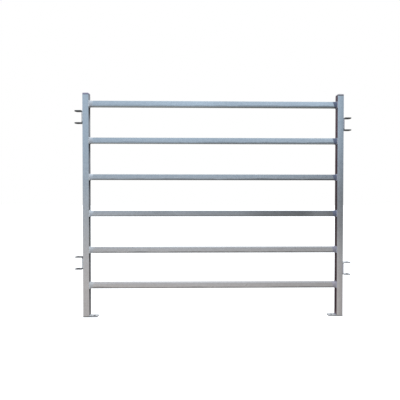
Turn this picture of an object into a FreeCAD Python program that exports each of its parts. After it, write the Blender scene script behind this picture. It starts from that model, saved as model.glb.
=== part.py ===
"""Livestock yard panel: a welded frame of square steel tube.

Two posts carry six rails. Each post has a plug-in cap on top, a flat foot below and two bent lug
brackets on its outer side, which a drop pin joins to the lugs of the next panel.
Millimetres, +Z up, X along the panel, origin on the ground in the middle of the panel.
"""
import FreeCAD, Part
import math
import os
import Sketcher

V = FreeCAD.Vector
LINE_START, LINE_END = 1, 2
ORIGIN = (-1, 1)

SIZES = {
    "panel_length": (2100, "over both posts"),
    "panel_height": (1800, "ground to the top of the caps"),
    "post_size": (50, "square tube, outside"),
    "post_wall": (2, "its wall"),
    "post_corner": (4, "its outside corner radius"),
    "rail_height": (45, "rail tube, up and down"),
    "rail_depth": (45, "rail tube, front to back"),
    "rail_wall": (1.6, "its wall"),
    "rail_corner": (3.5, "its outside corner radius"),
    "top_rail_drop": (87, "panel top to the centre of the top rail"),
    "bottom_rail_rise": (253, "ground to the centre of the bottom rail"),
    "bottom_pitch": (286, "centre to centre of the two lowest rails"),
    "cap_rim": (12, "upright edge of a post cap"),
    "cap_dome": (4, "rise of its sloping top above that edge"),
    "cap_inset": (8, "the flat of the top lies this far inside the edge"),
    "cap_rounding": (1.5, "radius along the edges of the top"),
    "plug_depth": (24, "how far the cap's hollow plug goes down the tube"),
    "plug_wall": (2, "wall of the plug"),
    "plug_gap": (1.6, "plug to the inside of the tube"),
    "plug_corner": (3, "outside corner radius of the plug"),
    "fin_gap": (0.1, "gripping fin to the inside of the tube"),
    "fin_height": (1.4, "thickness of a fin"),
    "fin_pitch": (6, "fin to fin"),
    "fin_count": (3, "fins on a plug"),
    "foot_length": (115, "from the post's outer face towards the middle"),
    "foot_width": (50, "front to back"),
    "foot_thickness": (6, "plate"),
    "foot_corner": (9, "corner radius of the free end"),
    "peg_hole": (18, "diameter of the ground-peg hole"),
    "peg_setback": (30, "free end to the centre of that hole"),
    "bar_width": (50, "flat bar that a lug bracket is bent from"),
    "bar_thickness": (6, "the same bar"),
    "bracket_height": (102, "over both lugs"),
    "lug_reach": (68, "post face to the tip of a lug"),
    "bend_radius": (6, "inside radius of each bend"),
    "tip_corner": (19, "corner radius of a lug's tip"),
    "pin_hole": (22, "diameter of the drop-pin hole"),
    "pin_reach": (43, "post face to the centre of that hole"),
    "upper_bracket_drop": (192, "panel top to the middle of the upper left bracket"),
    "lower_bracket_rise": (434, "ground to the middle of the lower left bracket"),
    "stagger": (49, "how much lower the right-hand brackets sit"),
    "rail_weld_leg": (5, "fillet above and below a rail's end, and along the rail"),
    "rail_weld_side": (2.2, "the same fillet on the rail's front and back"),
    "weld_toe": (0.3, "thickness at a fillet's thin end"),
    "bracket_bead": (3.5, "radius of the bead along a bracket's edge"),
    "bracket_bead_inset": (1.5, "bead axis inside the edge of the bracket or the post"),
    "bracket_bead_stop": (2, "end of a bracket's bend to the end of its bead"),
    "foot_weld_leg": (5, "fillet between a post and its foot"),
}

SIDES = {"left": -1, "right": 1}
RAILS = ("top", "second", "third", "fourth", "fifth", "bottom")

POST_X = "(sizes.panel_length - sizes.post_size) / 2"
TUBE_TOP = "sizes.panel_height - sizes.cap_rim - sizes.cap_dome"
TOP_RAIL = "(sizes.panel_height - sizes.top_rail_drop)"
FIFTH_RAIL = "(sizes.bottom_rail_rise + sizes.bottom_pitch)"
RAIL_HEIGHTS = {
    name: f"{TOP_RAIL} - {i} / 4 * ({TOP_RAIL} - {FIFTH_RAIL})"
    for i, name in enumerate(RAILS[:-1])
}
RAIL_HEIGHTS["bottom"] = "sizes.bottom_rail_rise"
BRACKET_HEIGHTS = {
    "upper_left": "sizes.panel_height - sizes.upper_bracket_drop",
    "lower_left": "sizes.lower_bracket_rise",
    "upper_right": "sizes.panel_height - sizes.upper_bracket_drop - sizes.stagger",
    "lower_right": "sizes.lower_bracket_rise - sizes.stagger",
}

doc = FreeCAD.newDocument("livestock_panel")
sheet = doc.addObject("Spreadsheet::Sheet", "sizes")
for row, (name, (value, note)) in enumerate(SIZES.items(), start=1):
    sheet.set(f"A{row}", name)
    sheet.set(f"B{row}", str(value))
    sheet.set(f"C{row}", note)
    sheet.setAlias(f"B{row}", name)
doc.recompute()
size = {name: float(sheet.get(name)) for name in SIZES}


# ---- sketches --------------------------------------------------------------------------------


def new_sketch(body, name, role, rise=None):
    """A sketch on one of the body's origin planes, or raised from it by a formula."""
    sketch = body.newObject("Sketcher::SketchObject", name)
    plane = next(f for f in body.Origin.OriginFeatures if f.Role == role)
    sketch.AttachmentSupport = (plane, [""])
    sketch.MapMode = "FlatFace"
    if rise:
        sketch.setExpression("AttachmentOffset.Base.z", rise)
    return sketch


def constrain(sketch, kind, *where):
    sketch.addConstraint(Sketcher.Constraint(kind, *where))


def dimension(sketch, formula, kind, *where):
    """A driving constraint whose last value is its starting size, then tied to a formula."""
    index = sketch.addConstraint(Sketcher.Constraint(kind, *where))
    sketch.setExpression(f"Constraints[{index}]", formula)


def draw_outline(sketch, points):
    """A closed outline of straight lines, each kept level or upright. Gives its first line."""
    first = sketch.GeometryCount
    count = len(points)
    for i, point in enumerate(points):
        sketch.addGeometry(Part.LineSegment(V(*point), V(*points[(i + 1) % count])), False)
    for i, point in enumerate(points):
        after = (i + 1) % count
        constrain(sketch, "Coincident", first + i, LINE_END, first + after, LINE_START)
        level = point[1] == points[after][1]
        constrain(sketch, "Horizontal" if level else "Vertical", first + i)
    return first


def draw_rounded(sketch, width, depth, corner, guess):
    """A rectangle with round corners about the sketch's origin, from three formulas.

    guess holds the three sizes to start from."""
    x, y, r = guess[0] / 2, guess[1] / 2, guess[2]
    first = sketch.GeometryCount
    ends = [(-x + r, -y), (x - r, -y), (x, -y + r), (x, y - r)]
    ends += [(-px, -py) for px, py in ends]
    centres = [(x - r, -y + r), (x - r, y - r), (-x + r, y - r), (-x + r, -y + r)]
    for i in range(4):
        start, end = ends[2 * i], ends[2 * i + 1]
        sketch.addGeometry(Part.LineSegment(V(*start), V(*end)), False)
    for i, centre in enumerate(centres):
        circle = Part.Circle(V(*centre), V(0, 0, 1), r)
        from_angle = (i - 1) * math.pi / 2
        sketch.addGeometry(Part.ArcOfCircle(circle, from_angle, from_angle + math.pi / 2), False)
    for i in range(4):
        line, arc, after = first + i, first + 4 + i, first + (i + 1) % 4
        constrain(sketch, "Tangent", line, LINE_END, arc, LINE_START)
        constrain(sketch, "Tangent", arc, LINE_END, after, LINE_START)
        constrain(sketch, "Horizontal" if i % 2 == 0 else "Vertical", line)
        if i:
            constrain(sketch, "Equal", first + 4, arc)
    bottom, right, top, left = range(first, first + 4)
    constrain(sketch, "Symmetric", bottom, LINE_START, top, LINE_START, *ORIGIN)
    dimension(sketch, width, "DistanceX", left, LINE_START, right, LINE_START, guess[0])
    dimension(sketch, depth, "DistanceY", bottom, LINE_START, top, LINE_START, guess[1])
    dimension(sketch, corner, "Radius", first + 4, guess[2])


def draw_tube(sketch, width, depth, corner, wall, guess):
    """Two rounded rectangles, one inside the other by the wall."""
    thick = guess[3]
    draw_rounded(sketch, width, depth, corner, guess[:3])
    inner = (guess[0] - 2 * thick, guess[1] - 2 * thick, guess[2] - thick)
    draw_rounded(sketch, f"{width} - 2 * {wall}", f"{depth} - 2 * {wall}",
                 f"{corner} - {wall}", inner)


def draw_hole(sketch, centre, diameter, guess):
    """A circle on the sketch's X axis."""
    sketch.addGeometry(Part.Circle(V(guess[0], 0, 0), V(0, 0, 1), guess[1] / 2), False)
    constrain(sketch, "PointOnObject", 0, 3, -1)
    dimension(sketch, centre, "DistanceX", *ORIGIN, 0, 3, guess[0])
    dimension(sketch, diameter, "Diameter", 0, guess[1])


# ---- features --------------------------------------------------------------------------------


def new_body(label):
    body = doc.addObject("PartDesign::Body", label)
    body.Label = label
    body.AllowCompound = True
    return body


def pad(body, sketch, length, both_ways=False, downwards=False):
    feature = body.newObject("PartDesign::Pad", sketch.Name + "_pad")
    feature.Profile = sketch
    feature.SideType = "Symmetric" if both_ways else "One side"
    feature.Reversed = downwards
    feature.setExpression("Length", length)
    doc.recompute()
    return feature


def cut_through(body, sketch):
    """Cuts a sketch right through the body, both ways, and makes sure that it did cut."""
    before = body.Shape.Volume
    feature = body.newObject("PartDesign::Pocket", sketch.Name + "_cut")
    feature.Profile = sketch
    feature.Type = "ThroughAll"
    feature.SideType = "Symmetric"
    doc.recompute()
    if not body.Shape.Volume < before:
        raise RuntimeError(f"{body.Label}: {sketch.Name} cut nothing")
    return feature


def loft(body, start, end):
    feature = body.newObject("PartDesign::AdditiveLoft", end.Name + "_loft")
    feature.Profile = start
    feature.Sections = [end]
    feature.Ruled = True
    doc.recompute()
    return feature


def fillet(body, radius, chosen):
    """Rounds the edges of the body so far that chosen(edge) is true for."""
    base = body.Tip
    edges = [f"Edge{i}" for i, edge in enumerate(base.Shape.Edges, start=1) if chosen(edge)]
    if not edges:
        raise RuntimeError(f"{body.Label}: no edges to round")
    feature = body.newObject("PartDesign::Fillet", f"{body.Name}_fillet")
    feature.Base = (base, edges)
    feature.setExpression("Radius", radius)
    doc.recompute()
    return feature


def runs_along(edge, axis):
    """True for a straight edge along an axis, 0 to 2 for X to Z."""
    if edge.Curve.TypeId != "Part::GeomLine":
        return False
    direction = edge.Vertexes[-1].Point - edge.Vertexes[0].Point
    return abs(abs(direction[axis]) - direction.Length) < 1e-6


def at(edge, axis, value):
    """True for an edge whose middle is at a value along an axis."""
    return abs(edge.CenterOfMass[axis] - value) < 1e-4


def place(body, x="0", z="0", turned=False):
    """Puts a body at two formulas, half turned about its upright axis or not."""
    body.Placement = FreeCAD.Placement(V(), FreeCAD.Rotation(V(0, 0, 1), 180 if turned else 0))
    body.setExpression("Placement.Base.x", x)
    body.setExpression("Placement.Base.z", z)


# ---- tubes -----------------------------------------------------------------------------------


def make_post(side):
    body = new_body(f"{side}_post")
    section = new_sketch(body, f"{side}_post_section", "XY_Plane")
    draw_tube(section, "sizes.post_size", "sizes.post_size", "sizes.post_corner",
              "sizes.post_wall", (50, 50, 4, 2))
    pad(body, section, f"{TUBE_TOP} - sizes.foot_thickness")
    place(body, f"{SIDES[side]} * {POST_X}", "sizes.foot_thickness")
    return body


def make_rail(name):
    """A rail that butts against the inner faces of the two posts."""
    body = new_body(f"{name}_rail")
    section = new_sketch(body, f"{name}_rail_section", "YZ_Plane")
    draw_tube(section, "sizes.rail_depth", "sizes.rail_height", "sizes.rail_corner",
              "sizes.rail_wall", (45, 45, 3.5, 1.6))
    pad(body, section, "sizes.panel_length - 2 * sizes.post_size", both_ways=True)
    place(body, z=RAIL_HEIGHTS[name])
    return body


# ---- post caps -------------------------------------------------------------------------------


def make_cap(side):
    """A plastic cap that sits on the tube's end: rim, sloping top, hollow plug and fins."""
    body = new_body(f"{side}_post_cap")
    rim = new_sketch(body, f"{side}_cap_rim", "XY_Plane")
    draw_rounded(rim, "sizes.post_size", "sizes.post_size", "sizes.post_corner", (50, 50, 4))
    pad(body, rim, "sizes.cap_rim")

    slope = new_sketch(body, f"{side}_cap_slope", "XY_Plane", "sizes.cap_rim")
    draw_rounded(slope, "sizes.post_size", "sizes.post_size", "sizes.post_corner", (50, 50, 4))
    flat = new_sketch(body, f"{side}_cap_flat", "XY_Plane", "sizes.cap_rim + sizes.cap_dome")
    across = "sizes.post_size - 2 * sizes.cap_inset"
    draw_rounded(flat, across, across, "sizes.post_corner", (34, 34, 4))
    loft(body, slope, flat)
    top = size["cap_rim"] + size["cap_dome"]
    fillet(body, "sizes.cap_rounding",
           lambda edge: at(edge, 2, top) or at(edge, 2, size["cap_rim"]))

    plug = new_sketch(body, f"{side}_cap_plug", "XY_Plane")
    across = "sizes.post_size - 2 * sizes.post_wall - 2 * sizes.plug_gap"
    draw_tube(plug, across, across, "sizes.plug_corner", "sizes.plug_wall", (42.8, 42.8, 3, 2))
    pad(body, plug, "sizes.plug_depth", downwards=True)
    add_fins(body, side)
    place(body, f"{SIDES[side]} * {POST_X}", TUBE_TOP)
    return body


def add_fins(body, side):
    """Thin flanges around the plug, which grip the inside of the tube."""
    lowest = "-sizes.plug_depth + sizes.fin_height"
    fin = new_sketch(body, f"{side}_cap_fin", "XY_Plane", lowest)
    across = "sizes.post_size - 2 * sizes.post_wall - 2 * sizes.fin_gap"
    corner = "sizes.post_corner - sizes.post_wall - sizes.fin_gap"
    draw_rounded(fin, across, across, corner, (45.8, 45.8, 1.9))
    hollow = "sizes.post_size - 2 * sizes.post_wall - 2 * sizes.plug_gap - 2 * sizes.plug_wall"
    draw_rounded(fin, hollow, hollow, "sizes.plug_corner - sizes.plug_wall", (38.8, 38.8, 1))
    flange = pad(body, fin, "sizes.fin_height", downwards=True)
    row = body.newObject("PartDesign::LinearPattern", f"{side}_cap_fins")
    row.Originals = [flange]
    row.Direction = (fin, ["N_Axis"])
    row.Mode = "Spacing"
    row.setExpression("Offset", "sizes.fin_pitch")
    row.setExpression("Occurrences", "sizes.fin_count")
    body.Tip = row
    doc.recompute()


# ---- feet ------------------------------------------------------------------------------------


def make_foot(side):
    """A plate under the post, level with its outer face, that reaches towards the middle."""
    body = new_body(f"{side}_foot")
    outline = new_sketch(body, f"{side}_foot_outline", "XY_Plane")
    front = draw_outline(outline, [(-25, -25), (90, -25), (90, 25), (-25, 25)])
    back = front + 2
    dimension(outline, "sizes.foot_length", "DistanceX", front, LINE_START, front, LINE_END, 115)
    dimension(outline, "sizes.foot_width", "DistanceY", front, LINE_START, back, LINE_END, 50)
    dimension(outline, "sizes.post_size / 2", "DistanceX", front, LINE_START, *ORIGIN, 25)
    dimension(outline, "sizes.foot_width / 2", "DistanceY", front, LINE_START, *ORIGIN, 25)
    pad(body, outline, "sizes.foot_thickness")
    free_end = size["foot_length"] - size["post_size"] / 2
    fillet(body, "sizes.foot_corner", lambda edge: runs_along(edge, 2) and at(edge, 0, free_end))

    peg = new_sketch(body, f"{side}_peg_hole", "XY_Plane")
    draw_hole(peg, "sizes.foot_length - sizes.post_size / 2 - sizes.peg_setback",
              "sizes.peg_hole", (60, 18))
    cut_through(body, peg)
    place(body, f"{SIDES[side]} * {POST_X}", turned=side == "right")
    return body


# ---- lug brackets ----------------------------------------------------------------------------


def make_bracket(corner):
    """A flat bar bent into a C: a web against the post and two lugs that point away from it."""
    body = new_body(f"{corner}_lug_bracket")
    profile = new_sketch(body, f"{corner}_lug_profile", "XZ_Plane")
    lower = draw_outline(profile, [(0, -51), (68, -51), (68, -45), (6, -45),
                                   (6, 45), (68, 45), (68, 51), (0, 51)])
    lower_tip, web, upper_tip, back = lower + 1, lower + 3, lower + 5, lower + 7
    constrain(profile, "Symmetric", back, LINE_START, back, LINE_END, *ORIGIN)
    constrain(profile, "Equal", lower_tip, upper_tip)
    constrain(profile, "Vertical", lower_tip, LINE_END, upper_tip, LINE_START)
    dimension(profile, "sizes.bracket_height", "DistanceY", back, LINE_END, back, LINE_START, 102)
    dimension(profile, "sizes.lug_reach", "DistanceX", lower, LINE_START, lower, LINE_END, 68)
    dimension(profile, "sizes.bar_thickness", "DistanceY",
              lower_tip, LINE_START, lower_tip, LINE_END, 6)
    dimension(profile, "sizes.bar_thickness", "DistanceX", back, LINE_END, web, LINE_START, 6)
    pad(body, profile, "sizes.bar_width", both_ways=True)

    fillet(body, "sizes.bend_radius",
           lambda edge: runs_along(edge, 1) and at(edge, 0, size["bar_thickness"]))
    fillet(body, "sizes.bend_radius + sizes.bar_thickness",
           lambda edge: runs_along(edge, 1) and at(edge, 0, 0))
    fillet(body, "sizes.tip_corner",
           lambda edge: runs_along(edge, 2) and at(edge, 0, size["lug_reach"]))

    pin = new_sketch(body, f"{corner}_pin_hole", "XY_Plane")
    draw_hole(pin, "sizes.pin_reach", "sizes.pin_hole", (43, 22))
    cut_through(body, pin)
    place_on_post(body, corner)
    return body


def place_on_post(body, corner):
    """Puts a body on the outer face of a post, at the height of one of its brackets."""
    side = corner.split("_")[1]
    x = f"{SIDES[side]} * sizes.panel_length / 2"
    place(body, x, BRACKET_HEIGHTS[corner], turned=side == "left")


# ---- welds -----------------------------------------------------------------------------------


def cut_away_post(body, name, centre):
    """Cuts the space of a post out of a weld. centre is the post's X in the weld's own frame."""
    space = new_sketch(body, name, "XY_Plane")
    draw_rounded(space, "sizes.post_size", "sizes.post_size", "sizes.post_corner", (50, 50, 4))
    space.setExpression("AttachmentOffset.Base.x", centre)
    cut_through(body, space)


def make_rail_weld(name, side):
    """A fillet weld all round a rail's end. Its frame starts at the post and faces the rail."""
    label = f"{name}_rail_{side}_weld"
    body = new_body(label)
    wide = "sizes.rail_depth + 2 * sizes.rail_weld_side"
    tall = "sizes.rail_height + 2 * sizes.rail_weld_leg"
    root = new_sketch(body, f"{label}_root", "YZ_Plane")
    draw_rounded(root, wide, tall, "sizes.rail_corner", (49.4, 55, 3.5))
    pad(body, root, "sizes.post_corner", downwards=True)

    start = new_sketch(body, f"{label}_start", "YZ_Plane")
    draw_rounded(start, wide, tall, "sizes.rail_corner", (49.4, 55, 3.5))
    toe = new_sketch(body, f"{label}_toe", "YZ_Plane", "sizes.rail_weld_leg")
    draw_rounded(toe, "sizes.rail_depth + 2 * sizes.weld_toe",
                 "sizes.rail_height + 2 * sizes.weld_toe", "sizes.rail_corner", (45.6, 45.6, 3.5))
    loft(body, start, toe)

    rail = new_sketch(body, f"{label}_rail", "YZ_Plane")
    draw_rounded(rail, "sizes.rail_depth", "sizes.rail_height", "sizes.rail_corner", (45, 45, 3.5))
    cut_through(body, rail)
    cut_away_post(body, f"{label}_post", "-sizes.post_size / 2")
    x = f"{SIDES[side]} * (sizes.panel_length / 2 - sizes.post_size)"
    place(body, x, RAIL_HEIGHTS[name], turned=side == "right")
    return body


def make_bracket_weld(corner):
    """A bead along the front and the back edge of a bracket's web."""
    label = f"{corner}_bracket_weld"
    body = new_body(label)
    beads = new_sketch(body, f"{label}_beads", "XY_Plane")
    for i, y in enumerate((-23.5, 23.5)):
        beads.addGeometry(Part.Circle(V(0, y, 0), V(0, 0, 1), 3.5), False)
        constrain(beads, "PointOnObject", i, 3, -2)
    constrain(beads, "Equal", 0, 1)
    dimension(beads, "sizes.bracket_bead", "Radius", 0, 3.5)
    half = "(min(sizes.bar_width; sizes.post_size) / 2 - sizes.bracket_bead_inset)"
    dimension(beads, half, "DistanceY", 0, 3, *ORIGIN, 23.5)
    dimension(beads, half, "DistanceY", *ORIGIN, 1, 3, 23.5)
    bend = "sizes.bend_radius + sizes.bar_thickness + sizes.bracket_bead_stop"
    pad(body, beads, f"sizes.bracket_height - 2 * ({bend})", both_ways=True)

    web = new_sketch(body, f"{label}_web", "XY_Plane")
    front = draw_outline(web, [(0, -25), (6, -25), (6, 25), (0, 25)])
    back, inner = front + 2, front + 3
    constrain(web, "Symmetric", inner, LINE_START, inner, LINE_END, *ORIGIN)
    dimension(web, "sizes.bar_width", "DistanceY", front, LINE_START, back, LINE_END, 50)
    dimension(web, "sizes.bar_thickness", "DistanceX", front, LINE_START, front, LINE_END, 6)
    cut_through(body, web)
    cut_away_post(body, f"{label}_post", "-sizes.post_size / 2")
    place_on_post(body, corner)
    return body


def make_foot_weld(side):
    """A fillet weld in the corner between a foot and the inner face of its post."""
    label = f"{side}_foot_weld"
    body = new_body(label)
    section = new_sketch(body, f"{label}_section", "XZ_Plane")
    corners = [V(21, 6), V(30, 6), V(30, 6.3), V(25.3, 11), V(21, 11)]
    for i, point in enumerate(corners):
        section.addGeometry(Part.LineSegment(point, corners[(i + 1) % 5]), False)
    for i, kind in enumerate(("Horizontal", "Vertical", None, "Horizontal", "Vertical")):
        constrain(section, "Coincident", i, LINE_END, (i + 1) % 5, LINE_START)
        if kind:
            constrain(section, kind, i)
    face = "sizes.post_size / 2"
    dimension(section, "sizes.foot_thickness", "DistanceY", *ORIGIN, 0, LINE_START, 6)
    dimension(section, f"{face} - sizes.post_corner", "DistanceX", *ORIGIN, 0, LINE_START, 21)
    dimension(section, f"{face} + sizes.foot_weld_leg", "DistanceX", *ORIGIN, 0, LINE_END, 30)
    dimension(section, "sizes.weld_toe", "DistanceY", 1, LINE_START, 1, LINE_END, 0.3)
    dimension(section, f"{face} + sizes.weld_toe", "DistanceX", *ORIGIN, 2, LINE_END, 25.3)
    dimension(section, "sizes.foot_weld_leg", "DistanceY", 0, LINE_START, 4, LINE_START, 5)
    across = "min(sizes.post_size; sizes.foot_width) - sizes.post_corner"
    pad(body, section, across, both_ways=True)
    cut_away_post(body, f"{label}_post", "0")
    place(body, f"{SIDES[side]} * {POST_X}", turned=side == "right")
    return body


# ---- the panel -------------------------------------------------------------------------------


def check(bodies):
    """Stops on anything that failed to build."""
    for thing in doc.Objects:
        if "Invalid" in thing.State or "Error" in thing.State:
            raise RuntimeError(f"{thing.Label}: {thing.State}")
    for body in bodies:
        if body.Shape.isNull() or not body.Shape.isValid() or body.Shape.Volume <= 0:
            raise RuntimeError(f"{body.Label}: its shape isn't sound")


def export(bodies):
    os.makedirs("parts", exist_ok=True)
    for body in bodies:
        body.Shape.exportStep(f"parts/{body.Label}.step")
        print(f"{body.Label}: {body.Shape.Volume / 1000:.1f} cm3, {len(body.Shape.Solids)} solid")


bodies = []
for side in SIDES:
    bodies += [make_post(side), make_cap(side), make_foot(side), make_foot_weld(side)]
for name in RAILS:
    bodies += [make_rail(name)] + [make_rail_weld(name, side) for side in SIDES]
for corner in BRACKET_HEIGHTS:
    bodies += [make_bracket(corner), make_bracket_weld(corner)]
doc.recompute()
check(bodies)
export(bodies)
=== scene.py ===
from math import pi, radians

import bmesh
import bpy
from mathutils import Matrix, Vector


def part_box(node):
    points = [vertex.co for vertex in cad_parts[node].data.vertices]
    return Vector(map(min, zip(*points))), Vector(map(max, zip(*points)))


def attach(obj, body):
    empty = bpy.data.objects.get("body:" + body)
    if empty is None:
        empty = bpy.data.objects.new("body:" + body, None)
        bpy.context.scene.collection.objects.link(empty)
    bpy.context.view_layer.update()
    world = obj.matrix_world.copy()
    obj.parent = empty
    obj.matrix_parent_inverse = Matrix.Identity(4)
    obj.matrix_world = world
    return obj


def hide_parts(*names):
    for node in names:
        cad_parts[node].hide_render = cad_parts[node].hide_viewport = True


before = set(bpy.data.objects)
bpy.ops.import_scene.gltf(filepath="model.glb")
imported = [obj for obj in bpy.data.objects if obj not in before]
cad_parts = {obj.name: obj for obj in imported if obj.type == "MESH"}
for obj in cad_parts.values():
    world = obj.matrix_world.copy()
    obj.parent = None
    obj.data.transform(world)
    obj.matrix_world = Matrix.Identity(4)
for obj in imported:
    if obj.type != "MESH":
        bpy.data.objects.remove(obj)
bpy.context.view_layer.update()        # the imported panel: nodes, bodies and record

sides = {"left": -1, "right": 1}
railNames = ("top", "second", "third", "fourth", "fifth", "bottom")
corners = [f"{level}_{side}" for level in ("upper", "lower") for side in sides]
leftToRight = (-0.1, 0.1)        # across here the left end's look gives way to the right end's
near = 1e-5        # places this close, in metres, count as one
facing = 0.9        # a normal with this much of a direction in it counts as facing that way
fine = 4.0        # detail of the finest noise


# Shader nodes written as sums and products.

class Wire:
    def __init__(self, bench, socket):
        self.bench, self.socket = bench, socket

    def __add__(self, other):
        return self.bench.maths("ADD", self, other)

    def __sub__(self, other):
        return self.bench.maths("SUBTRACT", self, other)

    def __rsub__(self, other):
        return self.bench.maths("SUBTRACT", other, self)

    def __mul__(self, other):
        return self.bench.maths("MULTIPLY", self, other)

    def __abs__(self):
        return self.bench.maths("ABSOLUTE", self)

    __radd__ = __add__
    __rmul__ = __mul__


class Bench:
    def __init__(self, tree):
        self.tree = tree
        tree.nodes.clear()

    def add(self, kind, inputs, out=0, stops=(), **settings):
        node = self.tree.nodes.new("ShaderNode" + kind)
        for name, value in settings.items():
            setattr(node, name, value)
        for i, (place, tone) in enumerate(stops):
            ramp = node.color_ramp.elements
            stop = ramp[i] if i < 2 else ramp.new(place)
            stop.position, stop.color = place, (tone, tone, tone, 1)
        for key, value in inputs.items():
            if isinstance(value, Wire):
                self.tree.links.new(value.socket, node.inputs[key])
            elif node.inputs[key].type == "RGBA":
                node.inputs[key].default_value = (*value, 1)
            else:
                node.inputs[key].default_value = value
        return Wire(self, node.outputs[out]) if node.outputs else node

    def maths(self, operation, first, second=0.0):
        return self.add("Math", {0: first, 1: second}, operation=operation)

    def split(self, vector):
        node = self.add("SeparateXYZ", {0: vector}).socket.node
        return [Wire(self, socket) for socket in node.outputs]

    def stretch(self, vector, factors):
        return self.add("VectorMath", {0: vector, 1: factors}, operation="MULTIPLY")

    def shift(self, vector, other):
        return self.add("VectorMath", {0: vector, 1: other}, operation="ADD")

    def dim(self, paint, factor):
        return self.add("VectorMath", {0: paint, "Scale": factor}, operation="SCALE")

    def fade(self, factor, first, second):        # from one colour to another
        return self.add("Mix", {0: factor, 6: first, 7: second}, out=2, data_type="RGBA")

    def step(self, value, low, high):        # 0 below low, 1 above high, smooth between
        inputs = {0: value, 1: low, 2: high}
        return self.add("MapRange", inputs, interpolation_type="SMOOTHSTEP")

    def noise(self, vector, scale, detail=3.0):
        return self.add("TexNoise", {"Vector": vector, "Scale": scale, "Detail": detail})

    def tones(self, value, stops):        # grey levels along a value from 0 to 1
        return self.add("ValToRGB", {0: value}, stops=stops)

    def cells(self, vector, scale):        # one random number for each cell
        seen = self.add("TexVoronoi", {"Vector": vector, "Scale": scale}, out="Color")
        return self.split(seen)[0]


def newFinish(name):
    finish = bpy.data.materials.new(name)
    finish.use_nodes = True
    return finish, Bench(finish.node_tree)


def applySkin(bench, sockets, normal):
    skin = bench.add("BsdfPrincipled", {**sockets, "Normal": normal})
    bench.add("OutputMaterial", {"Surface": skin})


# The camera stands in front, a little left of the middle, at about the panel's half height.

cameraSettings = {"place": (-0.156, -2.758, 0.980), "turn": (89.21, -0.03, -0.94),
                  "lens": 30.6, "sensor": 36, "clip": 0.05}


def makeCamera(look):
    bpy.ops.object.camera_add(location=look["place"], rotation=[radians(a) for a in look["turn"]])
    camera = bpy.context.object
    camera.data.lens = look["lens"]
    camera.data.sensor_width = look["sensor"]
    camera.data.clip_start = look["clip"]
    bpy.context.scene.camera = camera
    bpy.context.scene.view_settings.view_transform = "Standard"


# Studio: white to the eye all round. What the metal mirrors is soft cool light in front, above
# and behind and a pale floor, with one dark patch at the front right and one at the back left.
# Places are x and z of a unit direction. A pair says where a change starts and where it ends.

studio = {
    "frontLow": (0.585, 0.68, 0.805), "frontHigh": (0.715, 0.85, 1.0), "frontRise": (-0.05, 0.4),
    "backLow": (0.42, 0.44, 0.48), "backHigh": (1.0, 1.02, 1.06), "backRise": (0.0, 0.24),
    "behind": (-0.2, 0.35), "overhead": (1.1, 1.15, 1.2), "overheadRise": (0.45, 0.85),
    "flag": (0.25, 0.25, 0.27), "flagPlace": (0.40, -0.04), "flagSize": (0.20, 0.12),
    "shed": (0.15, 0.08, 0.09), "shedPlace": (-0.44, 0.0), "shedSize": (0.22, 0.32),
    "patchFade": (0.2, 2.2),
}


def makeWorld(look):
    world = bpy.data.worlds.new("studio")
    world.use_nodes = True
    bpy.context.scene.world = world
    bench = Bench(world.node_tree)
    x, y, z = bench.split(bench.add("TexCoord", {}))
    front = bench.fade(bench.step(z, *look["frontRise"]), look["frontLow"], look["frontHigh"])
    front = bench.fade(darkPatch(bench, look, "flag", x, z), front, look["flag"])
    back = bench.fade(bench.step(z, *look["backRise"]), look["backLow"], look["backHigh"])
    back = bench.fade(darkPatch(bench, look, "shed", x, z), back, look["shed"])
    light = bench.fade(bench.step(y, *look["behind"]), front, back)
    light = bench.fade(bench.step(z, *look["overheadRise"]), light, look["overhead"])
    eye = bench.add("LightPath", {})
    seen = bench.fade(eye, light, (1, 1, 1))
    cast = bench.add("Background", {"Color": seen})
    bench.add("OutputWorld", {"Surface": cast})


def darkPatch(bench, look, name, x, z):        # 1 at its middle, fading to 0 outside
    place, size = look[name + "Place"], look[name + "Size"]
    across, rise = (x - place[0]) * (1 / size[0]), (z - place[1]) * (1 / size[1])
    return 1 - bench.step(across * across + rise * rise, *look["patchFade"])


# Floor: pale to the eye. What the metal mirrors of it is lighter in front than behind.

ground = {
    "size": 60, "drop": 0.0005, "paint": (0.6, 0.6, 0.6), "glow": 0.75,
    "front": (0.76, 0.73, 0.71), "behind": (-0.1, 0.2), "far": (0.40, 0.42, 0.40),
    "farAway": (1.0, 4.0), "left": (0.40, 0.39, 0.39), "right": (0.12, 0.11, 0.11),
    "toTheRight": (-0.9, 0.2),
}


def makeFloor(look):
    bpy.ops.mesh.primitive_plane_add(size=look["size"], location=(0, 0, -look["drop"]))
    floor = bpy.context.object
    floor.name = "floor"
    finish, bench = newFinish("paleFloor")
    floor.data.materials.append(finish)
    x, y = bench.split(bench.add("TexCoord", {}, out="Object"))[:2]
    back = bench.fade(bench.step(x, *look["toTheRight"]), look["left"], look["right"])
    back = bench.fade(bench.step(y, *look["farAway"]), back, look["far"])
    mirrored = bench.fade(bench.step(y, *look["behind"]), look["front"], back)
    mirrored = bench.add("Emission", {"Color": mirrored})
    paint = bench.add("BsdfDiffuse", {"Color": look["paint"]})
    glow = bench.add("Emission", {"Strength": look["glow"]})
    seen = bench.add("AddShader", {0: paint, 1: glow})
    eye = bench.add("LightPath", {})
    both = bench.add("MixShader", {0: eye, 1: mirrored, 2: seen})
    bench.add("OutputMaterial", {"Surface": both})


# Modelling: a primitive is placed, opened in edit mode, and its faces or edges picked by place.

def add(primitive, place, scale=(1, 1, 1), **settings):
    bpy.ops.object.select_all(action="DESELECT")
    primitive(location=place, **settings)
    bpy.context.object.scale = scale
    return bpy.context.object


def addBlock(low, high):
    middle, extent = (low + high) / 2, high - low
    return add(bpy.ops.mesh.primitive_cube_add, middle, extent, size=1)


def selectOnly(*pieces):
    bpy.ops.object.select_all(action="DESELECT")
    for piece in pieces:
        piece.select_set(True)
    bpy.context.view_layer.objects.active = pieces[0]


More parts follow.
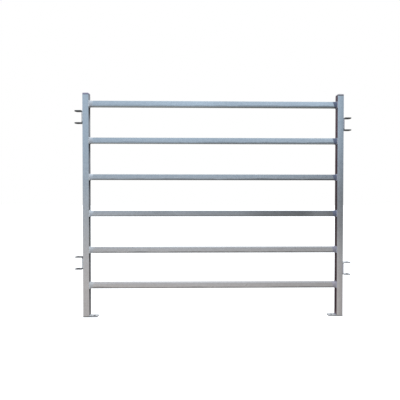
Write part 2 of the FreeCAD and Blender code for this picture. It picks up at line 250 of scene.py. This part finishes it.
def openUp(piece):        # applies its scale and enters edit mode with nothing selected
    selectOnly(piece)
    bpy.ops.object.transform_apply(location=True, rotation=True, scale=True)
    bpy.ops.object.mode_set(mode="EDIT")
    bpy.ops.mesh.select_all(action="DESELECT")


def pick(piece, kind, test):        # kind is VERT, EDGE or FACE
    bpy.ops.mesh.select_all(action="DESELECT")
    bpy.ops.mesh.select_mode(type=kind)
    mesh = bmesh.from_edit_mesh(piece.data)
    elements = {"VERT": mesh.verts, "EDGE": mesh.edges, "FACE": mesh.faces}
    for element in elements[kind]:
        element.select_set(test(element))
    mesh.select_flush_mode()
    bmesh.update_edit_mesh(piece.data)


def pickFaces(piece, test):        # test gets a face's middle and its normal
    pick(piece, "FACE", lambda face: test(face.calc_center_median(), face.normal))


def pickEdges(piece, test):        # test gets an edge's two ends
    pick(piece, "EDGE", lambda edge: test(edge.verts[0].co, edge.verts[1].co))


def pickRing(piece, x, reach=near):        # the points of one ring across a bead
    pick(piece, "VERT", lambda point: abs(point.co.x - x) < reach)


def closeUp():        # leaves edit mode with every face outwards
    bpy.ops.mesh.select_all(action="SELECT")
    bpy.ops.mesh.normals_make_consistent(inside=False)
    bpy.ops.object.mode_set(mode="OBJECT")


def modify(piece, kind, **settings):
    selectOnly(piece)
    modifier = piece.modifiers.new(kind.lower(), kind)
    for name, value in settings.items():
        setattr(modifier, name, value)
    bpy.ops.object.modifier_apply(modifier=modifier.name)


softening = {"steps": 2, "angle": 40}


def softenEdges(piece, width):
    modify(piece, "BEVEL", width=width, segments=softening["steps"], limit_method="ANGLE",
           angle_limit=radians(softening["angle"]))


def extrude(move, factor=1):        # factor widens or narrows it across
    bpy.ops.mesh.extrude_region_move(TRANSFORM_OT_translate={"value": move})
    if factor != 1:
        bpy.ops.transform.resize(value=(factor, factor, 1))


drillSides = 40


def bore(piece, place, radius, depth):
    drill = add(bpy.ops.mesh.primitive_cylinder_add, place, vertices=drillSides, radius=radius,
                depth=depth)
    modify(piece, "BOOLEAN", operation="DIFFERENCE", object=drill, solver="EXACT")
    discard(drill)


def camel(node):
    first, *rest = node.split("_")
    return first + "".join(word.capitalize() for word in rest)


def copyPiece(piece, turn=0, place=(0, 0, 0)):        # turned about the upright axis, then moved
    twin = piece.copy()
    twin.data = piece.data.copy()
    bpy.context.scene.collection.objects.link(twin)
    twin.data.transform(Matrix.Translation(place) @ Matrix.Rotation(turn, 4, "Z"))
    return twin


def discard(piece):
    bpy.data.objects.remove(piece)


def keep(piece, node, finish, crease=35):        # the finished piece stands for a node
    selectOnly(piece)
    bpy.ops.object.shade_smooth_by_angle(angle=radians(crease))
    modify(piece, "WEIGHTED_NORMAL", keep_sharp=True)
    piece.name = camel(node)
    piece.data.materials.clear()
    piece.data.materials.append(finish)
    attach(piece, "root")
    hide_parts(node)


# Square tube: a bar with rolled corners, bored right through.

tube = {"postWall": 0.002, "postCorner": 0.004, "railWall": 0.0016, "railCorner": 0.0035,
        "cornerSteps": 5}


def makeTube(node, axis, wall, corner, finish):
    low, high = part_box(node)
    middle, half = (low + high) / 2, (high - low) / 2
    piece = addBlock(low, high)
    openUp(piece)
    pickEdges(piece, lambda a, b: abs((a - b)[axis]) > half[axis])
    bpy.ops.mesh.bevel(offset=corner, segments=tube["cornerSteps"], affect="EDGES")
    pickFaces(piece, lambda place, normal: abs(normal[axis]) > facing)
    bpy.ops.mesh.inset(thickness=wall)
    bpy.ops.mesh.bridge_edge_loops()
    closeUp()
    layTubeMap(piece, middle, axis)
    keep(piece, node, finish)


def layTubeMap(piece, middle, axis):        # u along the tube, v across its front
    sheet = piece.data.uv_layers.new(name="tube")
    across = 2 if axis == 0 else 0
    for loop in piece.data.loops:
        place = piece.data.vertices[loop.vertex_index].co - middle
        sheet.data[loop.index].uv = (place[axis], place[across])


# Post cap: a moulded plug with a low sloping top, which stands a little off the tube's end.

cap = {"corner": 0.004, "cornerSteps": 5, "rim": 0.012, "inset": 0.008, "rounding": 0.0015,
       "roundingSteps": 3, "neck": 0.0025, "neckHeight": 0.003, "plug": 0.0214, "plugWall": 0.002,
       "fin": 0.0229, "finHeight": 0.0014, "finPitch": 0.006, "finCount": 3}


def makeCap(side, finish):
    node = f"{side}_post_cap"
    low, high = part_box(node)
    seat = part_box(f"{side}_post")[1].z
    under, shoulder = seat + cap["neckHeight"], seat + cap["rim"]
    half = (high.x - low.x) / 2
    piece = addBlock(Vector((low.x, low.y, under)), Vector((high.x, high.y, shoulder)))
    openUp(piece)
    pickFaces(piece, lambda place, normal: normal.z > facing)
    bpy.ops.mesh.inset(thickness=cap["inset"])
    bpy.ops.transform.translate(value=(0, 0, high.z - shoulder))
    pickEdges(piece, lambda a, b: abs(a.z - b.z) > near)
    bpy.ops.mesh.bevel(offset=cap["corner"], segments=cap["cornerSteps"], affect="EDGES")
    pickEdges(piece, lambda a, b: min(a.z, b.z) > shoulder - near and abs(a.z - b.z) < near)
    bpy.ops.mesh.bevel(offset=cap["rounding"], segments=cap["roundingSteps"], affect="EDGES")
    pickFaces(piece, lambda place, normal: normal.z < -facing)
    bpy.ops.mesh.inset(thickness=cap["neck"])
    extrude((0, 0, seat - under))
    bpy.ops.mesh.inset(thickness=half - cap["neck"] - cap["plug"])
    depth = seat - low.z
    first = depth - (cap["finCount"] - 1) * cap["finPitch"]
    for i in range(cap["finCount"]):
        extrude((0, 0, cap["finHeight"] - (cap["finPitch"] if i else first)))
        growFin(cap["fin"] / cap["plug"], cap["finHeight"])
    bpy.ops.mesh.inset(thickness=cap["plugWall"])
    extrude((0, 0, depth))
    closeUp()
    keep(piece, node, finish)


def growFin(factor, height):        # one rib round the plug
    extrude((0, 0, 0), factor)
    extrude((0, 0, -height))
    extrude((0, 0, 0), 1 / factor)


# Foot: a plate with its free corners rounded and a peg hole.

foot = {"corner": 0.009, "cornerSteps": 6, "peg": 0.009, "pegSetback": 0.030, "drill": 0.05,
        "edge": 0.0008}


def makeFoot(side, finish):
    node = f"{side}_foot"
    low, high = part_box(node)
    tip = high.x if side == "left" else low.x
    piece = addBlock(low, high)
    openUp(piece)
    pickEdges(piece, lambda a, b: abs(a.z - b.z) > near and abs(a.x - tip) < near)
    bpy.ops.mesh.bevel(offset=foot["corner"], segments=foot["cornerSteps"], affect="EDGES")
    closeUp()
    pegX = tip + sides[side] * foot["pegSetback"]
    bore(piece, Vector((pegX, 0, (low.z + high.z) / 2)), foot["peg"], foot["drill"])
    softenEdges(piece, foot["edge"])
    keep(piece, node, finish)


# Lug bracket: flat bar, drawn out from one tip, bent round twice and bored for the drop pin.

bracket = {"bar": 0.006, "bend": 0.006, "bendSteps": 6, "tipCorner": 0.019, "tipSteps": 7,
           "hole": 0.011, "holeReach": 0.043, "edge": 0.0009}


def makeBrackets(finishes):
    model = "upper_right_lug_bracket"
    low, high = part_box(model)
    bar, turn = bracket["bar"], bracket["bar"] + bracket["bend"]
    bendX = low.x + turn
    start = Vector((high.x, 0, low.z + bar / 2))
    piece = add(bpy.ops.mesh.primitive_plane_add, start, (bar, high.y - low.y, 1), size=1,
                rotation=(0, pi / 2, 0))
    openUp(piece)
    bpy.ops.mesh.select_all(action="SELECT")
    extrude((bendX - high.x, 0, 0))
    bendRound((bendX, 0, low.z + turn))
    extrude((0, 0, high.z - low.z - 2 * turn))
    bendRound((bendX, 0, high.z - turn))
    extrude((high.x - bendX, 0, 0))
    bpy.ops.mesh.select_all(action="SELECT")
    bpy.ops.mesh.remove_doubles(threshold=near)
    bpy.ops.mesh.normals_make_consistent(inside=False)
    pickEdges(piece, lambda a, b: min(a.x, b.x) > high.x - near and abs(a.y - b.y) < near)
    bpy.ops.mesh.bevel(offset=bracket["tipCorner"], segments=bracket["tipSteps"], affect="EDGES")
    closeUp()
    hole = Vector((low.x + bracket["holeReach"], 0, (low.z + high.z) / 2))
    bore(piece, hole, bracket["hole"], 2 * (high.z - low.z))
    softenEdges(piece, bracket["edge"])
    for corner in corners:
        node = f"{corner}_lug_bracket"
        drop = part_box(node)[0].z - low.z
        twin = copyPiece(piece, pi if "left" in corner else 0, (0, 0, drop))
        keep(twin, node, finishes[corner])
    discard(piece)


def bendRound(centre):
    bpy.ops.mesh.spin(steps=bracket["bendSteps"], angle=pi / 2, center=centre, axis=(0, -1, 0))


# Weld beads: one ripple, repeated along the joint.

bead = {"radius": 0.0034, "ripple": 0.0034, "around": 12, "swell": (1.05, 1.08, 0.98),
        "waist": 0.86, "shake": 0.00012, "side": 0.0213, "top": 0.0241, "off": 0.0012,
        "corner": 0.005, "cornerSteps": 6, "edge": 0.0039, "merge": 0.00015,
        "endReach": 0.5, "endWidth": 0.55, "crease": 60, "bracketSeed": 20, "footSeed": 40}


def makeChain(length):        # a rippled bead along +X from the origin, open at its ends
    count = round(length / bead["ripple"])
    pitch = length / count
    piece = add(bpy.ops.mesh.primitive_cylinder_add, (pitch / 2, 0, 0), radius=bead["radius"],
                depth=pitch, vertices=bead["around"], end_fill_type="NOTHING",
                rotation=(0, pi / 2, 0))
    openUp(piece)
    pickEdges(piece, lambda a, b: abs(a.x - b.x) > pitch / 2)
    bpy.ops.mesh.subdivide(number_cuts=len(bead["swell"]))
    rings = (bead["waist"], *bead["swell"], bead["waist"])
    for i, factor in enumerate(rings):
        pickRing(piece, i * pitch / (len(rings) - 1), pitch / 50)
        bpy.ops.transform.resize(value=(1, factor, factor))
    bpy.ops.object.mode_set(mode="OBJECT")
    modify(piece, "ARRAY", count=count, relative_offset_displace=(1, 0, 0),
           use_merge_vertices=True, merge_threshold=near)
    return piece


def makeRing(width, height, corner):        # a bead round a rectangle in the XY plane
    path = add(bpy.ops.mesh.primitive_plane_add, (0, 0, 0), (width, height, 1), size=1)
    openUp(path)
    bpy.ops.mesh.select_all(action="SELECT")
    bpy.ops.mesh.bevel(offset=corner, segments=bead["cornerSteps"], affect="VERTICES")
    bpy.ops.mesh.select_all(action="SELECT")
    bpy.ops.mesh.delete(type="ONLY_FACE")
    bpy.ops.object.mode_set(mode="OBJECT")
    bpy.ops.object.convert(target="CURVE")
    path = bpy.context.object
    piece = makeChain(path.data.splines[0].calc_length())
    modify(piece, "CURVE", object=path, deform_axis="POS_X")
    discard(path)
    openUp(piece)
    bpy.ops.mesh.select_all(action="SELECT")
    bpy.ops.mesh.remove_doubles(threshold=bead["merge"])
    closeUp()
    return piece


def makeRun(length):        # a straight bead centred on the origin, with rounded ends
    piece = makeChain(length)
    openUp(piece)
    for end, out in ((0, -1), (length, 1)):
        pickRing(piece, end)
        bpy.ops.mesh.edge_face_add()
        extrude((out * bead["radius"] * bead["endReach"], 0, 0))
        bpy.ops.transform.resize(value=(1, bead["endWidth"], bead["endWidth"]))
    closeUp()
    piece.data.transform(Matrix.Translation((-length / 2, 0, 0)))
    return piece


def roughen(piece, seed):        # no two ripples alike
    openUp(piece)
    bpy.ops.mesh.select_all(action="SELECT")
    bpy.ops.transform.vertex_random(offset=bead["shake"], seed=seed)
    bpy.ops.object.mode_set(mode="OBJECT")


def makeRailWelds(finish):
    model = makeRing(2 * bead["side"], 2 * bead["top"], bead["corner"])
    model.data.transform(Matrix.Rotation(pi / 2, 4, "X"))
    model.data.transform(Matrix.Rotation(pi / 2, 4, "Z"))
    for i, name in enumerate(railNames):
        low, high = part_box(f"{name}_rail")
        for side, sign in sides.items():
            end = low.x if sign < 0 else high.x
            place = (end - sign * bead["off"], 0, (low.z + high.z) / 2)
            twin = copyPiece(model, pi if sign < 0 else 0, place)
            roughen(twin, 2 * i + (sign > 0))
            keep(twin, f"{name}_rail_{side}_weld", finish, bead["crease"])
    discard(model)


def makeBracketWelds(finish):
    for i, corner in enumerate(corners):
        node = f"{corner}_bracket_weld"
        low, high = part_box(node)
        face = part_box(f"{corner.split('_')[1]}_post")[0 if "left" in corner else 1].x
        pair = []
        for j, y in enumerate((low.y + bead["edge"], high.y - bead["edge"])):
            run = makeRun(high.z - low.z - bead["radius"])
            run.data.transform(Matrix.Rotation(-pi / 2, 4, "Y"))
            run.data.transform(Matrix.Translation((face, y, (low.z + high.z) / 2)))
            roughen(run, bead["bracketSeed"] + 2 * i + j)
            pair.append(run)
        selectOnly(*pair)
        bpy.ops.object.join()
        keep(pair[0], node, finish, bead["crease"])


def makeFootWeld(side, finish):
    node = f"{side}_foot_weld"
    low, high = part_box(node)
    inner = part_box(f"{side}_post")[1 if side == "left" else 0].x
    piece = makeRun(high.y - low.y - bead["radius"])
    piece.data.transform(Matrix.Rotation(pi / 2, 4, "Z"))
    place = (inner - sides[side] * bead["off"], 0, low.z + bead["off"])
    piece.data.transform(Matrix.Translation(place))
    roughen(piece, bead["footSeed"] + (side == "right"))
    keep(piece, node, finish, bead["crease"])


# Zinc on the tubes: spangles, draw lines and slow patches, with painted reflection and shade in
# its colour. A pair says where a change starts and where it ends.

zinc = {
    "cool": (0.50, 0.55, 0.585), "warm": (0.54, 0.53, 0.53), "coolRise": (0.1, 1.5),
    "spangle": 95, "wander": 0.006, "wanderScale": 60, "spangleTone": 0.10, "spangleRough": 0.08,
    "patches": 6, "patchTone": 0.14, "patchRough": 0.12,
    "lines": 210, "linesAlong": 3, "lineTone": 0.12,
    "rough": 0.33, "metallic": 0.92, "crown": 0.0005,
    "grain": 0.0001, "grainSpangle": 0.35, "grainLines": 0.5,
}
lowerEdgeShade = {"reach": 0.0115, "uneven": 1.5, "fade": (-0.003, 0.005)}        # painted shade along a rail's lower edge
touchUpPaintAndShade = {        # paint round the rails' ends, its colour with painted light: lighter at the left end than the right, one colour on low rails and another on high, darker down each face
    "reach": {"left": 0.030, "right": 0.033}, "ragged": 45, "wander": 0.014, "slant": 0.25,
    "fade": (-0.004, 0.004), "slope": 17, "patchTone": 0.3, "rough": 0.15, "dull": 0.5,
    "rise": (0.3, 0.9), "leftHigh": (0.53, 0.57, 0.61), "leftLow": (0.50, 0.505, 0.51),
    "rightHigh": (0.13, 0.15, 0.215), "rightLow": (0.36, 0.34, 0.38),
}
innerFace = {        # of a post: painted shade, darker than its front, and darker still close under each rail
    "edge": (0.0014, 0.0002), "left": (0.37, 0.36, 0.37), "right": (0.32, 0.20, 0.23),
    "dirt": {"left": 1.0, "right": 0.3}, "railShadeReach": (0.01, 0.14), "railShadeTone": 0.15,
    "railShadeRough": 0.5, "railShadeDull": 0.85,
}
railPaintedReflection = {        # painted reflection: how light each rail is from its left end to its right
    "top": ((0, 1.0), (0.2, 1.07), (0.45, 1.2), (0.55, 1.08), (0.8, 1.12), (0.92, 1.2), (1, 1.05)),
    "second": ((0, 1.0), (0.4, 1.05), (0.55, 0.98), (0.7, 1.05), (1, 1.08)),
    "third": ((0, 0.94), (0.45, 0.95), (0.65, 0.93), (0.85, 0.85), (1, 0.72)),
    "fourth": ((0, 0.98), (0.15, 0.88), (0.28, 0.74), (0.37, 0.8), (0.45, 0.7), (0.6, 0.66),
               (0.7, 0.46), (0.86, 0.38), (0.92, 0.55), (1, 0.4)),
    "fifth": ((0, 1.0), (0.3, 1.02), (0.7, 0.93), (0.85, 0.84), (1, 0.85)),
    "bottom": ((0, 1.06), (0.4, 1.02), (0.6, 1.0), (0.75, 0.9), (1, 0.84)),
}
lowerEdgeShadeTones = {        # painted shade on its lower edge, against the rest of the rail
    "top": ((0, 0.8), (0.5, 0.65), (1, 0.42)), "second": ((0, 0.75), (1, 0.5)),
    "third": ((0, 0.5), (1, 0.32)), "fourth": ((0, 0.7), (1, 0.85)),
    "fifth": ((0, 0.42), (1, 0.5)), "bottom": ((0, 0.5), (1, 0.5)),
}
postPaintedReflection = {        # painted reflection: how light each post is from its foot up
    "left": ((0, 1.0), (0.25, 1.06), (0.5, 0.94), (1, 1.0)),
    "right": ((0, 0.9), (0.25, 0.86), (0.42, 0.62), (0.53, 0.6), (0.65, 0.76), (0.85, 0.9),
              (1, 0.92)),
}
postPaintedSlope = {"left": 0.0, "right": -6.0}        # painted reflection: lighter or darker across the front, per metre


def makeZinc(node, axis, stops, lowerEdgeShades=(), side=None):        # shades for a rail's lower edge, side for a post
    finish, bench = newFinish(camel(node) + "Zinc")
    low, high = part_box(node)
    length, half = (high - low)[axis], (high - low)[2 - axis] / 2
    place = bench.add("TexCoord", {}, out="Object")
    y, z = bench.split(place)[1:]
    u, v = bench.split(bench.add("UVMap", {}, uv_map="tube"))[:2]
    along = u * (1 / length) + 0.5
    factors = [zinc["linesAlong"] if i == axis else zinc["lines"] for i in range(3)]
    lines = bench.noise(bench.stretch(place, factors), 1.0, fine)
    patches = bench.noise(place, zinc["patches"])
    stir = bench.add("TexNoise", {"Vector": place, "Scale": zinc["wanderScale"]}, out="Color")
    stirred = bench.shift(place, bench.dim(stir, zinc["wander"]))
    spangle = bench.cells(stirred, zinc["spangle"])
    shade = (1 + (spangle - 0.5) * zinc["spangleTone"] + (lines - 0.5) * zinc["lineTone"]
             + (patches - 0.5) * zinc["patchTone"])
    # Painted reflection: each tube lighter or darker along its length.
    shade = shade * bench.tones(along, stops)
    # Painted reflection: the zinc is bluer higher up and warmer low down, as if mirroring sky and
    # ground.
    metal = bench.fade(bench.step(z, *zinc["coolRise"]), zinc["warm"], zinc["cool"])
    rough = (zinc["rough"] + (spangle - 0.5) * zinc["spangleRough"]
             + (patches - 0.5) * zinc["patchRough"])
    if axis == 0:
        # Painted shade along the rail's lower edge, darker towards the bottom.
        edge = half - lowerEdgeShade["reach"] * (1 + (patches - 0.5) * lowerEdgeShade["uneven"])
        lower = bench.step(-1 * v - edge, *lowerEdgeShade["fade"])
        shade = shade * (1 - lower * (1 - bench.tones(along, lowerEdgeShades)))
        # Touch-up paint round the ends, with painted reflection and shade in its colour.
        painted, paint = layTouchUpPaintAndShade(bench, place, z, u, v, length)
        paint = bench.dim(paint, 1 + (patches - 0.5) * touchUpPaintAndShade["patchTone"])
        metal = bench.fade(painted, bench.dim(metal, shade), paint)
        rough = rough + painted * touchUpPaintAndShade["rough"]
        metallic = zinc["metallic"] - painted * touchUpPaintAndShade["dull"]
    else:
        toward = -1 if low.x > 0 else 1
        start, end = (half - depth for depth in innerFace["edge"])
        # Painted shade on the inner face of the post, deepest close under each rail.
        inside = bench.step(v * toward, start, end)
        dirt = paintedRailShade(bench, z) * innerFace["dirt"][side]
        paintedInnerShade = bench.dim(innerFace[side], 1 - dirt * (1 - innerFace["railShadeTone"]))
        # Painted reflection: the post's front lighter or darker from one side to the other.
        metal = bench.dim(metal, shade * (1 + v * postPaintedSlope[side]))
        metal = bench.fade(inside, metal, bench.stretch(metal, paintedInnerShade))
        rough = rough + dirt * inside * innerFace["railShadeRough"]
        metallic = zinc["metallic"] - dirt * inside * innerFace["railShadeDull"]
    crown = (v * v + y * y) * (-zinc["crown"] / half / half)        # faces are a little domed
    bumps = (spangle * zinc["grainSpangle"] + lines * zinc["grainLines"]) * zinc["grain"]
    normal = bench.add("Bump", {"Strength": 1.0, "Distance": 1.0, "Height": crown + bumps})
    applySkin(bench, {"Base Color": metal, "Roughness": rough, "Metallic": metallic}, normal)
    return finish


def layTouchUpPaintAndShade(bench, place, z, u, v, length):        # where the paint lies, and its colour, with painted reflection and shade in it
    ragged = (bench.noise(place, touchUpPaintAndShade["ragged"]) - 0.5) * touchUpPaintAndShade["wander"]
    rightEnd = bench.step(u, *leftToRight)
    reach = touchUpPaintAndShade["reach"]
    further = rightEnd * (reach["right"] - reach["left"])
    border = abs(u) + further + ragged + v * touchUpPaintAndShade["slant"] + reach["left"]
    painted = bench.step(border - length / 2, *touchUpPaintAndShade["fade"])
    # Painted reflection: one colour on low rails, another on high; painted shade: darker at the
    # right end and down the face.
    height = bench.step(z, *touchUpPaintAndShade["rise"])
    left = bench.fade(height, touchUpPaintAndShade["leftLow"], touchUpPaintAndShade["leftHigh"])
    right = bench.fade(height, touchUpPaintAndShade["rightLow"], touchUpPaintAndShade["rightHigh"])
    return painted, bench.dim(bench.fade(rightEnd, left, right), 1 + v * touchUpPaintAndShade["slope"])


def paintedRailShade(bench, z):        # painted shade: 1 close under each rail, fading further down
    rim, fade = innerFace["railShadeReach"]
    total = 0.0
    for name in railNames:
        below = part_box(f"{name}_rail")[0].z - z
        total = bench.step(below, -rim, 0.0) * (1 - bench.step(below, rim, fade)) + total
    return total


# Plate: hot-dipped flat bar, with painted light: lighter on its upward faces and darker on its
# edges.

plate = {
    "metal": (0.30, 0.305, 0.31), "metallic": 0.75, "rough": 0.5, "patchRough": 0.25,
    "spangle": 60, "spangleTone": 0.22, "grain": 240, "grainTone": 0.25,
    "patches": 30, "patchTone": 0.3, "bump": {"Strength": 0.4, "Distance": 0.0005},
    "topTone": 1.6, "topTurn": (0.3, 0.9), "paintedEdgeShade": 0.4, "edgeFade": (-0.001, 0.003),
    "webReach": 0.010, "footTone": 1.35, "footEdge": 0.12,
}
# Painted light: how light each bracket is, so the four are lit and shaded copies of one plate.
bracketPaintedLight = {"upper_left": 0.85, "upper_right": 0.85, "lower_left": 0.45, "lower_right": 1.5}


def makePlate(name, tone, paintedEdgeShade, web=0.0):        # no edge gets painted shade within web of the middle
    finish, bench = newFinish(name)
    place = bench.add("TexCoord", {}, out="Object")
    spangle = bench.cells(place, plate["spangle"])
    grain = bench.noise(place, plate["grain"], fine)
    patches = bench.noise(place, plate["patches"])
    shade = (1 + (spangle - 0.5) * plate["spangleTone"] + (grain - 0.5) * plate["grainTone"]
             + (patches - 0.5) * plate["patchTone"])
    upward = bench.split(bench.add("NewGeometry", {}, out="Normal"))[2]
    # Painted light on faces turned up, painted shade on the edges.
    top = bench.step(upward, *plate["topTurn"])
    edge = (1 - top) * bench.step(abs(bench.split(place)[0]) - web, *plate["edgeFade"])
    shade = shade * tone * (1 + top * (plate["topTone"] - 1) - edge * (1 - paintedEdgeShade))
    rough = plate["rough"] + (patches - 0.5) * plate["patchRough"]
    normal = bench.add("Bump", {**plate["bump"], "Height": grain})
    applySkin(bench, {"Base Color": bench.dim(plate["metal"], shade), "Roughness": rough,
                      "Metallic": plate["metallic"]}, normal)
    return finish


# Painted light: beads at the left lighter than those at the right, with a painted glint on their
# tops.
weldPaint = {
    "left": (0.66, 0.68, 0.69), "right": (0.46, 0.45, 0.51), "crest": (0.95, 0.96, 0.98),
    "paintedGlintTurn": (0.1, 0.8), "grain": 320, "grainTone": 0.5, "rough": 0.5, "grainRough": 0.2,
    "metallic": 0.55, "bump": {"Strength": 0.4, "Distance": 0.0004},
}


def makeWeldPaint(name):        # zinc-rich paint brushed over a bead, with painted light: lighter at the left joints, darker at the right, and a painted glint on top at the left
    finish, bench = newFinish(name)
    place = bench.add("TexCoord", {}, out="Object")
    grain = bench.noise(place, weldPaint["grain"], fine)
    rightHand = bench.step(bench.split(place)[0], *leftToRight)
    upward = bench.split(bench.add("NewGeometry", {}, out="Normal"))[2]
    # Painted glint on the upward faces of the left beads.
    crest = bench.step(upward, *weldPaint["paintedGlintTurn"]) * (1 - rightHand)
    paint = bench.fade(rightHand, weldPaint["left"], weldPaint["right"])
    paint = bench.fade(crest, paint, weldPaint["crest"])
    paint = bench.dim(paint, 1 + (grain - 0.5) * weldPaint["grainTone"])
    rough = weldPaint["rough"] + grain * weldPaint["grainRough"]
    normal = bench.add("Bump", {**weldPaint["bump"], "Height": grain})
    applySkin(bench, {"Base Color": paint, "Roughness": rough,
                      "Metallic": weldPaint["metallic"]}, normal)
    return finish


capPlastic = {
    "left": (0.36, 0.345, 0.46), "right": (0.46, 0.43, 0.46), "chalk": 40, "chalkTone": 0.25,
    "rough": 0.45, "chalkRough": 0.2, "grain": 900, "bump": {"Strength": 0.15, "Distance": 0.0002},
    "joint": {"left": 0.6, "right": 0.15}, "jointWander": 0.002, "jointFade": 0.001,
}


def makeCapPlastic(name, side):        # chalky from the sun, with painted shade in the joint to the post; each cap's colour painted as light falls on it
    finish, bench = newFinish(name)
    place = bench.add("TexCoord", {}, out="Object")
    grain = bench.noise(place, capPlastic["grain"], 2.0)
    chalk = bench.noise(place, capPlastic["chalk"])
    height = bench.split(place)[2] + (chalk - 0.5) * capPlastic["jointWander"]
    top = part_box(f"{side}_post")[1].z + cap["neckHeight"] + cap["rounding"]
    fade = capPlastic["jointFade"]
    # Painted shade in a band at the joint to the post.
    joint = 1 - bench.step(height, top - fade, top + fade)
    paint = bench.dim(capPlastic[side], 1 + (chalk - 0.5) * capPlastic["chalkTone"])
    paint = bench.dim(paint, 1 - joint * (1 - capPlastic["joint"][side]))
    rough = capPlastic["rough"] + chalk * capPlastic["chalkRough"]
    normal = bench.add("Bump", {**capPlastic["bump"], "Height": grain})
    applySkin(bench, {"Base Color": paint, "Roughness": rough}, normal)
    return finish


makeCamera(cameraSettings)
makeWorld(studio)
makeFloor(ground)
print("studio ready")

plateZinc = makePlate("plateZinc", plate["footTone"], plate["footEdge"])
weldZinc = makeWeldPaint("weldZinc")
for side in sides:
    node = f"{side}_post"
    finish = makeZinc(node, 2, postPaintedReflection[side], side=side)
    makeTube(node, 2, tube["postWall"], tube["postCorner"], finish)
    makeCap(side, makeCapPlastic(f"{side}CapPlastic", side))
    makeFoot(side, plateZinc)
    makeFootWeld(side, weldZinc)
print("posts, caps and feet ready")

for name in railNames:
    node = f"{name}_rail"
    finish = makeZinc(node, 0, railPaintedReflection[name], lowerEdgeShadeTones[name])
    makeTube(node, 0, tube["railWall"], tube["railCorner"], finish)
print("rails ready")

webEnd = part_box("right_post")[1].x + plate["webReach"]        # bracket edges get painted shade past this
makeBrackets({corner: makePlate(camel(corner) + "PlateZinc", tone, plate["paintedEdgeShade"], webEnd)
              for corner, tone in bracketPaintedLight.items()})
makeRailWelds(weldZinc)
makeBracketWelds(weldZinc)
print("brackets and welds ready")
